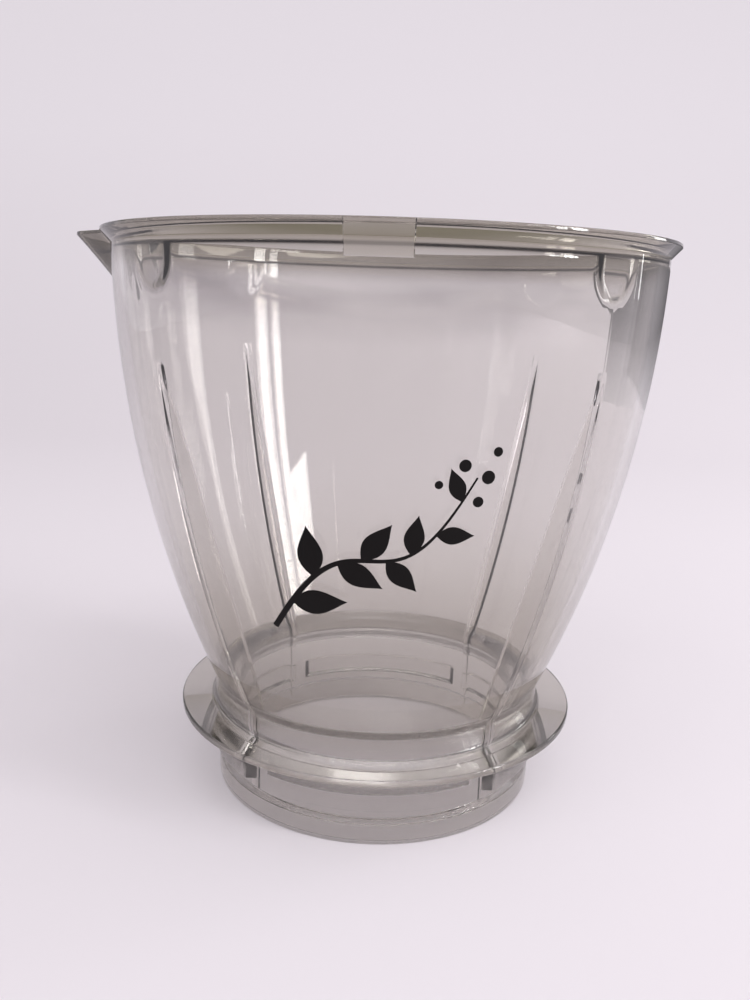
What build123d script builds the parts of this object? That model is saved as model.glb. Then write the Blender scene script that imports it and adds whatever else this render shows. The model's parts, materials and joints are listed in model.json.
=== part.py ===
"""Clear blender jar, moulded in one piece: tulip wall, flared rim with a pouring spout,
four flow ribs inside, a skirt flange and a bayonet neck. The bottom is open for the blade base.

Frame: the jar stands on its neck at z = 0, its axis is Z, its front is -Y and its spout is -X.
"""
import os
from math import atan2, cos, radians, sin, sqrt, tan

from build123d import *

# Overall, millimetres: the mouth is the outer wall's radius at the rim
JAR_HEIGHT = 148.2
MOUTH_RADIUS = 70.9
WALL = 2.6

# Flared lip round the mouth
LIP_OVERHANG = 2.4
LIP_HEIGHT = 3.5
LIP_EDGE = 0.9
LIP_ROOT_FILLET = 0.8
RIM_ROUND = 0.35

# Neck: a band at its foot, a groove above it and the bore that takes the blade base
NECK_RADIUS = 45.0
BAND_HEIGHT = 6.2
BAND_CHAMFER = 0.8
GROOVE_DEPTH = 1.2
SEAT_WALL = 2.4
SEAT_HEIGHT = 4.0
SEAT_STEP = 0.8
SHOULDER_DROP = 2.6
EDGE_ROUND = 0.5

# Skirt flange and the collar that stands on it
FLANGE_TOP = 23.5
FLANGE_THICKNESS = 1.9
FLANGE_REACH = 9.25
FLANGE_FILLET = 1.4
COLLAR_PROUD = 1.0
COLLAR_HEIGHT = 6.5

# Bayonet lugs on the neck: two wide ones at the sides, two narrower ones front and back
LUG_RISE = 2.8
LUG_HEIGHT = 4.6
LUG_PROUD = 1.2
LUG_FLANK = 0.6
LUG_GAP_ANGLE = 39.0
LUG_GAP = 8.0

# Flow ribs inside
RIB_COUNT = 4
RIB_START_ANGLE = 45.0
RIB_THICKNESS = 2.0
RIB_TOP_DROP = 30.2
RIB_FOOT = 1.2
RIB_TOE = 0.5
RIB_BEND_RISE = 0.9
RIB_LIFT = 1.0

# Ledge for the lid inside the rim, the lid lugs under it, one over each rib, and the lid key at the front
LEDGE_DROP = 4.6
LEDGE_DEPTH = 0.7
LID_LUG_WIDTH = 12.0
LID_LUG_SIDE = 3.5
LID_LUG_DEPTH = 1.1
KEY_WIDTH = 13.4
KEY_HEIGHT = 7.0
KEY_DEPTH = 1.0

# Pouring spout: the V's sides would meet at its point, before the tip is rounded
SPOUT_REACH = 12.1
SPOUT_HALF_WIDTH = 12.3
SPOUT_DEPTH = 16.7
SPOUT_WALL = 2.2
SPOUT_TIP_ROUND = 4.0
SPOUT_BLEND = 6.0
BLEND_FLANK = 4.0
BLEND_SINK = 0.3
CHANNEL_OPENING = 5.2
CHANNEL_ROUND = 2.0
KEEL_HALF_WIDTH = 2.2
KEEL_ROUND = 0.3

# Radii and heights that follow
RIM_RADIUS = MOUTH_RADIUS + LIP_OVERHANG
LIP_ROOT = JAR_HEIGHT - LIP_HEIGHT
GROOVE_RADIUS = NECK_RADIUS - GROOVE_DEPTH
SEAT_RADIUS = GROOVE_RADIUS - SEAT_WALL
BORE_RADIUS = SEAT_RADIUS - SEAT_STEP
COLLAR_RADIUS = NECK_RADIUS + COLLAR_PROUD
COLLAR_TOP = FLANGE_TOP + COLLAR_HEIGHT
FLANGE_RADIUS = COLLAR_RADIUS + FLANGE_REACH
FLANGE_BOTTOM = FLANGE_TOP - FLANGE_THICKNESS
SHOULDER_TOP = COLLAR_TOP + EDGE_ROUND
BORE_TOP = SHOULDER_TOP - SHOULDER_DROP
LUG_BOTTOM = BAND_HEIGHT + BAND_CHAMFER + LUG_RISE
LUG_TOP = LUG_BOTTOM + LUG_HEIGHT
LUG_RADIUS = NECK_RADIUS + LUG_PROUD
RIB_TOP = JAR_HEIGHT - RIB_TOP_DROP
RIB_BOTTOM = SEAT_HEIGHT + RIB_LIFT
LID_LUG_FACE = MOUTH_RADIUS - WALL - LID_LUG_DEPTH
LEDGE = JAR_HEIGHT - LEDGE_DROP
LEDGE_WALL = WALL - LEDGE_DEPTH
SPOUT_POINT = RIM_RADIUS + SPOUT_REACH
SPOUT_KEEL = JAR_HEIGHT - SPOUT_DEPTH
RIM_FOOT = sqrt(RIM_RADIUS**2 - SPOUT_HALF_WIDTH**2)
SPOUT_LEAN = atan2(SPOUT_HALF_WIDTH, SPOUT_POINT - RIM_FOOT)
SPOUT_MITRE = SPOUT_WALL / sin(SPOUT_LEAN)
FUSE = WALL / 2
FRONT_ANGLE = -90.0

# Wall arc: it stands upright at the rim and leans in to the collar
wall_run = JAR_HEIGHT - COLLAR_TOP
wall_lean = MOUTH_RADIUS - COLLAR_RADIUS
ARC_RADIUS = (wall_run**2 + wall_lean**2) / (2 * wall_lean)
ARC_CENTRE = MOUTH_RADIUS - ARC_RADIUS


def wall_point(depth, height):
    """Section point that lies a given depth inside the outer wall, at a height on its arc."""
    radius = ARC_RADIUS - depth
    return (ARC_CENTRE + sqrt(radius**2 - (JAR_HEIGHT - height) ** 2), height)


def wall_arc(depth, low, high):
    """Stretch of the wall's arc between two heights, upwards."""
    middle = wall_point(depth, (low + high) / 2)
    return ThreePointArc(wall_point(depth, low), middle, wall_point(depth, high))


def section_plane(angle):
    """Half plane through the jar's axis: its x runs outwards, its y runs up."""
    turn = radians(angle)
    return Plane(origin=(0, 0, 0), x_dir=(cos(turn), sin(turn), 0), z_dir=(sin(turn), -cos(turn), 0))


def facing_plane(angle, radius, height):
    """Plane that faces outwards at a radius: its x runs round the jar, its y runs up."""
    turn = radians(angle)
    outwards = (cos(turn), sin(turn), 0)
    origin = (radius * cos(turn), radius * sin(turn), height)
    return Plane(origin=origin, x_dir=(-sin(turn), cos(turn), 0), z_dir=outwards)


def spout_plan(radius, point, half_width):
    """Outer plan of the spout at one level: from inside the jar's edge, along it, and out to the point."""
    side = half_width + BLEND_FLANK
    sunk = (-sqrt((radius - BLEND_SINK) ** 2 - side**2), side)
    foot = (-sqrt(radius**2 - half_width**2), half_width)
    return [sunk, foot, (-point, 0), (foot[0], -half_width), (sunk[0], -side)]


def channel_plan(height, point):
    """Plan of the spout's channel at one level: its sides run along the spout's, open to the jar."""
    root = wall_point(WALL, height)[0] - CHANNEL_OPENING
    half_width = (point - root) * tan(SPOUT_LEAN)
    return [(-root, half_width), (-point, 0), (-root, -half_width)]


keel_radius = wall_point(0, SPOUT_KEEL)[0]
beak_radius = wall_point(0, LIP_ROOT)[0]
beak_point = SPOUT_POINT - LIP_OVERHANG
rim_plan = spout_plan(RIM_RADIUS, SPOUT_POINT, SPOUT_HALF_WIDTH)
spout_levels = [
    (SPOUT_KEEL, spout_plan(keel_radius, keel_radius, KEEL_HALF_WIDTH), KEEL_ROUND),
    (LIP_ROOT, spout_plan(beak_radius, beak_point, SPOUT_HALF_WIDTH), SPOUT_TIP_ROUND),
    (JAR_HEIGHT - LIP_EDGE, rim_plan, SPOUT_TIP_ROUND),
    (JAR_HEIGHT, rim_plan, SPOUT_TIP_ROUND),
]
channel_levels = [
    (SPOUT_KEEL, channel_plan(SPOUT_KEEL, wall_point(WALL, SPOUT_KEEL)[0])),
    (LIP_ROOT, channel_plan(LIP_ROOT, beak_point - SPOUT_MITRE)),
    (JAR_HEIGHT - LIP_EDGE, channel_plan(JAR_HEIGHT, SPOUT_POINT - SPOUT_MITRE)),
    (JAR_HEIGHT, channel_plan(JAR_HEIGHT, SPOUT_POINT - SPOUT_MITRE)),
]

narrow_lug = 2 * LUG_GAP_ANGLE - LUG_GAP
wide_lug = 180 - 2 * LUG_GAP_ANGLE - LUG_GAP
lug_arcs = [
    (FRONT_ANGLE - narrow_lug / 2, narrow_lug),
    (FRONT_ANGLE + 90 - wide_lug / 2, wide_lug),
    (FRONT_ANGLE + 180 - narrow_lug / 2, narrow_lug),
    (FRONT_ANGLE + 270 - wide_lug / 2, wide_lug),
]
rib_angles = [RIB_START_ANGLE + turn * 360 / RIB_COUNT for turn in range(RIB_COUNT)]

section_rounds = [
    ((COLLAR_RADIUS, FLANGE_TOP), FLANGE_FILLET),
    (wall_point(0, LIP_ROOT), LIP_ROOT_FILLET),
    ((RIM_RADIUS, JAR_HEIGHT - LIP_EDGE), RIM_ROUND),
    ((RIM_RADIUS, JAR_HEIGHT), RIM_ROUND),
    (wall_point(LEDGE_WALL, JAR_HEIGHT), EDGE_ROUND),
    ((FLANGE_RADIUS, FLANGE_TOP), EDGE_ROUND),
    ((FLANGE_RADIUS, FLANGE_BOTTOM), EDGE_ROUND),
    ((NECK_RADIUS, 0), EDGE_ROUND),
]

with BuildPart() as jar:
    # Wall, lip, flange and neck: one section turned round the axis
    with BuildSketch(Plane.XZ) as section:
        with BuildLine():
            Polyline(
                (SEAT_RADIUS, 0),
                (NECK_RADIUS, 0),
                (NECK_RADIUS, BAND_HEIGHT),
                (GROOVE_RADIUS, BAND_HEIGHT + BAND_CHAMFER),
                (GROOVE_RADIUS, FLANGE_BOTTOM),
                (FLANGE_RADIUS, FLANGE_BOTTOM),
                (FLANGE_RADIUS, FLANGE_TOP),
                (COLLAR_RADIUS, FLANGE_TOP),
                (COLLAR_RADIUS, COLLAR_TOP),
            )
            wall_arc(0, COLLAR_TOP, LIP_ROOT)
            Polyline(
                wall_point(0, LIP_ROOT),
                (RIM_RADIUS, JAR_HEIGHT - LIP_EDGE),
                (RIM_RADIUS, JAR_HEIGHT),
                wall_point(LEDGE_WALL, JAR_HEIGHT),
            )
            wall_arc(LEDGE_WALL, LEDGE, JAR_HEIGHT)
            Line(wall_point(LEDGE_WALL, LEDGE), wall_point(WALL, LEDGE))
            wall_arc(WALL, SHOULDER_TOP, LEDGE)
            Polyline(
                wall_point(WALL, SHOULDER_TOP),
                (BORE_RADIUS, BORE_TOP),
                (BORE_RADIUS, SEAT_HEIGHT),
                (SEAT_RADIUS, SEAT_HEIGHT),
                (SEAT_RADIUS, 0),
            )
        make_face()
        for corner, radius in section_rounds:
            fillet(section.vertices().sort_by_distance(corner)[0], radius)
    revolve(axis=Axis.Z)

    # Spout: a V-shaped beak that blends into the wall, with the lip's flare round its top
    for height, plan, tip_round in spout_levels:
        with BuildSketch(Plane.XY.offset(height)) as level:
            with BuildLine():
                Polyline(*plan, close=True)
            make_face()
            for foot in (plan[1], plan[3]):
                fillet(level.vertices().sort_by_distance((*foot, height))[0], SPOUT_BLEND)
            fillet(level.vertices().sort_by(Axis.X)[0], tip_round)
    loft(ruled=True)

    # Channel of the spout, open to the inside of the jar
    for height, plan in channel_levels:
        with BuildSketch(Plane.XY.offset(height)):
            with BuildLine():
                Polyline(*plan, close=True)
            make_face()
            fillet(vertices().sort_by(Axis.X)[0], CHANNEL_ROUND)
    loft(ruled=True, mode=Mode.SUBTRACT)

    # Bayonet lugs: short arcs with blunt ends and sloping flanks
    for start, sweep in lug_arcs:
        with BuildSketch(section_plane(start)):
            with BuildLine():
                Polyline(
                    (GROOVE_RADIUS - FUSE, LUG_BOTTOM - LUG_FLANK),
                    (GROOVE_RADIUS, LUG_BOTTOM - LUG_FLANK),
                    (LUG_RADIUS, LUG_BOTTOM),
                    (LUG_RADIUS, LUG_TOP),
                    (GROOVE_RADIUS, LUG_TOP + LUG_FLANK),
                    (GROOVE_RADIUS - FUSE, LUG_TOP + LUG_FLANK),
                    close=True,
                )
            make_face()
        revolve(axis=Axis.Z, revolution_arc=sweep)

    # Flow ribs: fins whose straight inner edge spans the wall's curve, from the wall to the bore
    with BuildSketch(*[section_plane(angle) for angle in rib_angles]):
        with BuildLine():
            Polyline(
                wall_point(FUSE, RIB_TOP),
                wall_point(WALL, RIB_TOP),
                (BORE_RADIUS - RIB_FOOT, BORE_TOP + RIB_BEND_RISE),
                (BORE_RADIUS - RIB_TOE, RIB_BOTTOM),
                (BORE_RADIUS + FUSE, RIB_BOTTOM),
                (BORE_RADIUS + FUSE, BORE_TOP),
                wall_point(FUSE, SHOULDER_TOP),
            )
            wall_arc(FUSE, SHOULDER_TOP, RIB_TOP)
        make_face()
    extrude(amount=RIB_THICKNESS / 2, both=True)

    # Lid lugs: round-ended pads that hang from the ledge
    half_lug = LID_LUG_WIDTH / 2
    with BuildSketch(*[facing_plane(angle, LID_LUG_FACE, LEDGE) for angle in rib_angles]):
        with BuildLine():
            Polyline((half_lug, -LID_LUG_SIDE), (half_lug, 0), (-half_lug, 0), (-half_lug, -LID_LUG_SIDE))
            ThreePointArc(
                (-half_lug, -LID_LUG_SIDE), (0, -LID_LUG_SIDE - half_lug), (half_lug, -LID_LUG_SIDE)
            )
        make_face()
    extrude(amount=LID_LUG_DEPTH + FUSE)

    # Lid key: a shallow slot in the inside of the rim, at the front
    with BuildSketch(facing_plane(FRONT_ANGLE, 0, JAR_HEIGHT)):
        Rectangle(KEY_WIDTH, KEY_HEIGHT, align=(Align.CENTER, Align.MAX))
    extrude(amount=MOUTH_RADIUS - WALL + KEY_DEPTH, mode=Mode.SUBTRACT)

jar.part.label = "jar"

os.makedirs("parts", exist_ok=True)
export_step(jar.part, "parts/jar.step")
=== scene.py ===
"""Clear blender jar: a fine mesh of the moulded jar, the black print on its front and a plain studio.

The jar stands on its neck at the origin. Its front is -Y, its spout is -X and Z is up. Sizes are metres.
"""
import json
from collections import namedtuple
from math import asin, atan, atan2, cos, hypot, pi, radians, sin, sqrt, tan

import bmesh
import bpy
from bpy.props import FloatProperty, FloatVectorProperty, IntProperty, PointerProperty
from mathutils import Matrix, Vector


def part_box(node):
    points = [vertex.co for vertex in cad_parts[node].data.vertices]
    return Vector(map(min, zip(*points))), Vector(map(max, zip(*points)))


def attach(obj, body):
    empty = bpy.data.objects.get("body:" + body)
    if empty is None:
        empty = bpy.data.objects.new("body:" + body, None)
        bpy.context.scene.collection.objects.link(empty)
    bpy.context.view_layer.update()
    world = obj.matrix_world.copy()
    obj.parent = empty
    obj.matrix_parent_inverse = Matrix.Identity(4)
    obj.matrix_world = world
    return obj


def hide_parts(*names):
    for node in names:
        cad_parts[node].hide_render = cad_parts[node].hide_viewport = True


bl_info = {
    "name": "Blender Jar",
    "version": (1, 0, 0),
    "blender": (4, 5, 0),
    "location": "View3D > Sidebar > Jar",
    "description": "Builds a clear moulded blender jar, the print on its front and a plain studio",
    "category": "Add Mesh",
}

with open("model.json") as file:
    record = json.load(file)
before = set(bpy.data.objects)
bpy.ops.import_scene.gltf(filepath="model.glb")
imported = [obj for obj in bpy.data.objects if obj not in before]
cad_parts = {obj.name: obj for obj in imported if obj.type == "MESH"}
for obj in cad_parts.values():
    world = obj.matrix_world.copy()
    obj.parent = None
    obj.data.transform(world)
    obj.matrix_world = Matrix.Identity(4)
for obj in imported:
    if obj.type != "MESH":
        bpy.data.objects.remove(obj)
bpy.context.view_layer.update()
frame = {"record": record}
JAR_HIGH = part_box("jar")[1]
MOUNTS = {mount["name"]: mount for mount in frame["record"]["mounts"]}
NECK_BAND = MOUNTS["neck_band"]["dims"]
BLADE_BORE = MOUNTS["blade_bore"]["dims"]
FLANGE_SEAT = MOUNTS["flange_seat"]["pos_m"]

Row = namedtuple("Row", "radius height inner")
Column = namedtuple("Column", "turn rib aside part", defaults=(None, 0, None))
Softbox = namedtuple("Softbox", "name turn distance height aim width tall power")

MM = 0.001

# Places round the jar, as turns from its front
FRONT_TURN = 0.0
SPOUT_TURN = -pi / 2
RIB_TURNS = [radians(turn) for turn in (-135, -45, 45, 135)]

# Rows of the jar's section, and a height too small to see
WALL_ROWS = 58
KEY_ROWS = 7
PAD_ROWS = 24
PLAIN_ROWS = 8
RIB_ROWS = 44
CORNER_SEGMENTS = 4
HAIR = 0.011 * MM

# Columns at a rib, as shares of its half thickness
RIB_COLUMNS = (("face", 0), ("face", 0.65), ("edge", 1), ("root", 1.03), ("wall", 1.45), ("wall", 1.77))

# Columns round the rest of the jar: how many there are and how far they reach
PAD_EDGE_COLUMNS = 9
PAD_EDGE_TURNS = (radians(3), radians(7))
RIB_CLEAR_TURN = radians(7.6)
SPOUT_COLUMNS = 54
SPOUT_SWEEP_TURN = radians(16.2)
SPOUT_CLEAR_TURN = radians(17)
KEY_EDGE_TURN = radians(0.08)
PLAIN_COLUMNS = 144
LEAST_GAP_TURN = radians(0.7)

# Least slope of the spout's sides, and the turn from which an edge is shown sharp
LEAST_SPOUT_SLOPE = 0.02
SHARP_TURN = radians(38)

# Fineness of the print and the shape of its leaves and berries
STEM_SEGMENTS = 48
STEM_BANDS = 2
HEADING_STEP = 0.01
LEAF_SEGMENTS = 20
LEAF_BANDS = 6
LEAF_LEAN = 0.8  # below 1, the leaf is broadest near its root
LEAF_POINT = 1.2  # above 1, its ends are drawn out
BERRY_SEGMENTS = 24
BERRY_TURN = 2.4  # radians from one berry to the next
BERRY_START = 1.6  # berry radii from the stem's tip to the first
BERRY_SHRINK = 0.1  # share of the radius that each berry loses

# Values of the noise between which scuffs and the painted reflection bands come in
SCUFF_RANGE = (0.12, 0.45)
PAINTED_REFLECTION_RANGE = (0.45, 0.66)

# Fineness of the rise from floor to backdrop
SWEEP_SEGMENTS = 20

# Glow of the grey card, across it from its rear end and up it from its foot
FLAG_ACROSS = (0.27, 0.69)
FLAG_ACROSS_GLOW = (0.12, 0.62)
FLAG_UP = (0.0, 0.15)
FLAG_UP_GLOW = (0.87, 0.0)

# Where the dull band of the room fades in and out, as parts of a direction of length 1
BAND_BEHIND = (0.2, 0.5)
BAND_BOTTOM = (0.28, 0.36)
BAND_TOP = (0.42, 0.48)

# Lamps of the studio: turn from the front in degrees, lengths in metres, power in watts
SOFTBOXES = (
    Softbox("overhead", 38, 1.3, 1.85, 0.0, 1.6, 1.6, 7.6),
    Softbox("strip", 12, 1.1, 1.85, 0.0, 1.0, 0.2, 6.0),
    Softbox("fill", -35, 1.6, 1.9, 0.3, 1.4, 1.4, 9.4),
    Softbox("side", 100, 1.5, 1.1, 0.0, 1.4, 1.4, 5.2),
    Softbox("window_wide", 71.2, 1.2, 0.46, 0.3, 0.14, 0.6, 5.0),
    Softbox("window_narrow", 63.5, 1.2, 0.46, 0.3, 0.09, 0.6, 2.2),
    Softbox("window_high", 55.5, 1.2, 0.475, 0.1, 0.25, 0.12, 1.0),
    Softbox("window_rear", 118, 1.1, 0.30, 0.2, 0.20, 0.4, 1.2),
)


# Settings that a user may change


def length(name, description, millimetres):
    """A length, written in millimetres and kept in metres."""
    return FloatProperty(
        name=name, description=description, default=millimetres * MM, unit="LENGTH", precision=5
    )


def angle(name, description, degrees):
    """An angle, written in degrees and kept in radians."""
    return FloatProperty(name=name, description=description, default=radians(degrees), unit="ROTATION")


def colour(name, description, *rgb):
    """A colour in linear light."""
    return FloatVectorProperty(
        name=name, description=description, default=rgb, size=3, min=0, max=1, subtype="COLOR"
    )


def value(name, description, default):
    """A plain number."""
    return FloatProperty(name=name, description=description, default=default)


class JarSizes(bpy.types.PropertyGroup):
    """Sizes of the moulded jar."""

    height: length("Height", "From the foot of the neck to the rim", JAR_HIGH.z / MM)
    rim_radius: length("Rim radius", "Outer edge of the flared lip", JAR_HIGH.x / MM)
    wall: length("Wall", "Thickness of the wall", 2.6)
    lip_overhang: length("Lip overhang", "How far the lip stands out from the wall", 2.4)
    lip_height: length("Lip height", "From the lip's root to the rim", 3.5)
    lip_edge: length("Lip edge", "Upright band at the edge of the lip", 0.9)
    lip_fillet: length("Lip fillet", "Round under the lip", 0.8)
    rim_round: length("Rim round", "Round of the rim's edges", 0.35)
    edge_round: length("Edge round", "Round of the flange, foot and mouth edges", 0.5)
    fine_round: length("Fine round", "Round of the small corners on neck and ledge", 0.22)

    neck_radius: length("Neck radius", "Band at the neck's foot", NECK_BAND["r_mm"])
    seat_radius: length("Seat radius", "Bore that takes the blade base", BLADE_BORE["r_mm"])
    seat_height: length("Seat height", "Depth of that bore", BLADE_BORE["length_mm"])
    seat_step: length("Seat step", "Step from the seat in to the upper bore", 0.8)
    shoulder_drop: length("Shoulder drop", "Slope from the wall to the upper bore", 2.6)
    shoulder_round: length("Shoulder round", "Round at both ends of that slope", 4.0)
    band_height: length("Band height", "Height of the plain band at the foot", 6.2)
    band_chamfer: length("Band chamfer", "Slope above the band", 0.8)
    groove_depth: length("Groove depth", "Depth of the neck's groove", 1.2)
    flange_bottom: length("Flange bottom", "Underside of the skirt", FLANGE_SEAT[2] / MM)
    flange_thickness: length("Flange thickness", "Thickness of the skirt", 1.9)
    flange_reach: length("Flange reach", "How far the skirt stands out from the collar", 9.25)
    flange_fillet: length("Flange fillet", "Round between skirt and collar", 1.4)
    collar_proud: length("Collar proud", "How far the collar stands out from the neck", 1.0)
    collar_height: length("Collar height", "Upright collar above the skirt", 6.5)

    lug_rise: length("Lug rise", "From the band to the bayonet lugs", 2.8)
    lug_height: length("Lug height", "Height of the bayonet lugs", 4.6)
    lug_proud: length("Lug proud", "How far the lugs stand out from the neck", 1.2)
    lug_flank: length("Lug flank", "Slope above and below the lugs", 0.6)
    lug_gap_turn: angle("Lug gap place", "Where the gaps between lugs are, from front and back", 39)
    lug_gap: angle("Lug gap", "Width of a gap between lugs", 8)
    lug_end: angle("Lug end", "Width of the step at a lug's end", 2.6)

    rib_thickness: length("Rib thickness", "Thickness of the flow ribs", 2.0)
    rib_top_drop: length("Rib top", "From the rim down to where the ribs leave the wall", 30.2)
    rib_foot: length("Rib foot", "How far the ribs reach into the upper bore, at their bend", 1.2)
    rib_toe: length("Rib toe", "How far the ribs reach into the upper bore, at their lower end", 0.5)
    rib_bend_rise: length("Rib bend", "Height of the ribs' bend above the upper bore", 0.9)
    rib_lift: length("Rib lift", "Lower end of the ribs above the seat", 1.0)
    rib_soft: length("Rib softness", "Round of the ribs' edges and roots", 0.35)

    ledge_drop: length("Ledge drop", "From the rim down to the ledge that the lid sits on", 4.6)
    ledge_depth: length("Ledge depth", "Width of that ledge", 0.7)
    # The dark line along the ledge is painted shade
    ledge_shade_line: length("Ledge line", "Half height of the dark line along that ledge", 0.65)
    pad_width: length("Pad width", "Width of the lid lugs under the ledge", 12.0)
    pad_side: length("Pad side", "Straight sides of the lid lugs", 3.5)
    pad_depth: length("Pad depth", "How far the lid lugs stand in from the wall", 0.7)
    pad_soft: length("Pad softness", "Width of the lid lugs' sloping edge", 4.0)
    key_width: length("Key width", "Width of the lid key's slot", 13.4)
    key_height: length("Key height", "Height of the slot, from the rim", 7.0)
    key_depth: length("Key depth", "Depth of the slot in the wall", 1.0)

    spout_half_width: length("Spout half width", "From its middle to where it leaves the lip", 12.3)
    spout_reach: length("Spout reach", "From the lip's edge to where its sides would meet", 12.08)
    spout_depth: length("Spout depth", "From the rim down to the end of the keel", 16.7)
    spout_wall: length("Spout wall", "Thickness of the spout's sides", 2.2)
    spout_tip_round: length("Spout tip round", "Round of the spout's tip", 4.0)
    spout_blend: length("Spout blend", "Softness where the spout leaves the wall", 0.5)
    channel_round: length("Channel round", "Round of the channel's bottom", 2.0)
    channel_blend: length("Channel blend", "Softness where the channel leaves the wall", 0.3)
    keel_half_width: length("Keel half width", "Half width of the keel's lower end", 2.2)

    # Tint of the thick plastic, with painted shade at the lip's root and partly painted shade on the
    # lower wall, flange and neck
    lower_tint_and_shade_top: length("Tint top", "Height at which the tint of the lower wall begins", 88.0)
    lip_fade: length("Lip fade", "From the lip's root down to where its tint ends", 7.0)
    lip_tint: value("Lip tint", "Share of the edges' tint on the lip", 0.6)
    # Painted shade at the lip's root, outside
    root_painted_shade: value("Root tint", "Share of the edges' tint at the lip's root, outside", 0.95)
    key_tint: value("Key tint", "Share of the edges' tint on the face of the lid key's slot", 0.75)
    # Painted shade of the ledge's dark line, where it crosses the key's slot
    key_shade_line: value("Key line", "Share of the ledge's dark line that shows in that slot", 0.75)
    # Painted shade on the lip
    lip_shade: value("Lip shade", "Share of the crease's tint on the lip", 0.12)
    spout_tint: value("Spout tint", "Share of the edges' tint on the spout", 0.7)
    # Painted shade on the spout
    spout_shade: value("Spout shade", "Share of the crease's tint on the spout", 0.5)
    # Thick plastic's tint with partly painted shade at the foot of the wall, on flange and neck
    wall_tint_and_shade: value("Wall tint", "Share of the edges' tint at the foot of the wall", 0.62)
    foot_tint_and_shade: value("Foot tint", "Share of the edges' tint on flange and neck", 0.42)
    flange_haze: value("Flange haze", "Share of the bore's dullness on flange and collar", 0.06)


class PrintSizes(bpy.types.PropertyGroup):
    """Layout of the leaf sprig printed on the front."""

    width: length("Width", "Across the front, from the stem's foot to its tip", 44.0)
    foot: length("Foot", "Height of the stem's foot above the floor", 60.0)
    rise: length("Rise", "From the stem's foot to its tip", 38.0)
    sway: value("Sway", "Bend of the stem, as a share of its rise", 0.16)
    stem_width: length("Stem width", "Width of the stem at its foot", 1.5)
    stem_taper: value("Stem taper", "Share of its width that the stem loses up to its tip", 0.7)
    leaf_count: IntProperty(name="Leaves", description="Leaves on alternate sides of the stem", default=8)
    first_leaf: value("First leaf", "Place of the first leaf, as a share of the stem", 0.1)
    last_leaf: value("Last leaf", "Place of the last leaf, as a share of the stem", 0.93)
    leaf_length: length("Leaf length", "Length of the largest leaf", 13.5)
    leaf_width: length("Leaf width", "Width of the largest leaf", 6.4)
    leaf_shrink: value("Leaf shrink", "Share of its size that a leaf at the stem's tip lacks", 0.45)
    leaf_spread: angle("Leaf spread", "Turn of the leaves away from the stem", 52)
    berry_count: IntProperty(name="Berries", description="Berries beyond the leaves", default=5)
    berry_radius: length("Berry radius", "Radius of the largest berry", 1.5)
    ink: length("Ink", "Thickness of the ink", 0.03)
    gap: length("Gap", "From the wall to the ink", 0.03)


class JarLook(bpy.types.PropertyGroup):
    """Colours and finish of the jar and its print, with its painted shade and painted reflection."""

    plastic_colour: colour("Plastic", "Tint of the plastic's surface", 0.905, 0.893, 0.874)
    # Tint of the thick plastic, also painted shade at the lip's root and on the lower wall, flange and
    # neck
    thick_tint_and_shade_colour: colour("Edges", "Tint of the thick lip, flange and neck", 0.34, 0.295, 0.21)
    # Painted shade: near-black line along the ledge, and darkening of lip and spout
    painted_shade_colour: colour("Crease", "Tint of the crease along the lid's ledge", 0.014, 0.011, 0.010)
    # Painted reflection of the room: faint darker level bands in the upper wall
    painted_reflection_colour: colour("Clouds", "Tint of the faint clouds in the upper wall", 0.54, 0.52, 0.53)
    painted_reflection_foot: length("Cloud foot", "Height at which those clouds begin", 124.0)
    painted_reflection_top: length("Cloud top", "Height at which those clouds are full", 141.0)
    plastic_ior: value("Plastic IOR", "Refraction of the plastic", 1.52)
    plastic_polish: value("Polish", "Roughness where the plastic is clean", 0.004)
    plastic_scuff: value("Scuffs", "Roughness where the plastic is scuffed", 0.03)
    plastic_ripple: length("Ripple", "Depth of the mould's slow ripple", 0.05)
    depth_colour: colour("Depth colour", "Tint that light takes on in the plastic", 0.34, 0.31, 0.29)
    depth_density: value("Depth density", "How fast that tint builds up, per metre", 25.0)
    bore_haze: value("Bore haze", "Roughness added on the dull bore of the neck", 0.24)
    ink_colour: colour("Ink", "Black of the print", 0.005, 0.004, 0.004)
    ink_polish: value("Ink polish", "Roughness where the ink is clean", 0.28)
    ink_scuff: value("Ink scuffs", "Roughness where the ink is scuffed", 0.5)
    ink_ripple: length("Ink ripple", "Depth of the ripple in the ink", 0.03)


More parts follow.
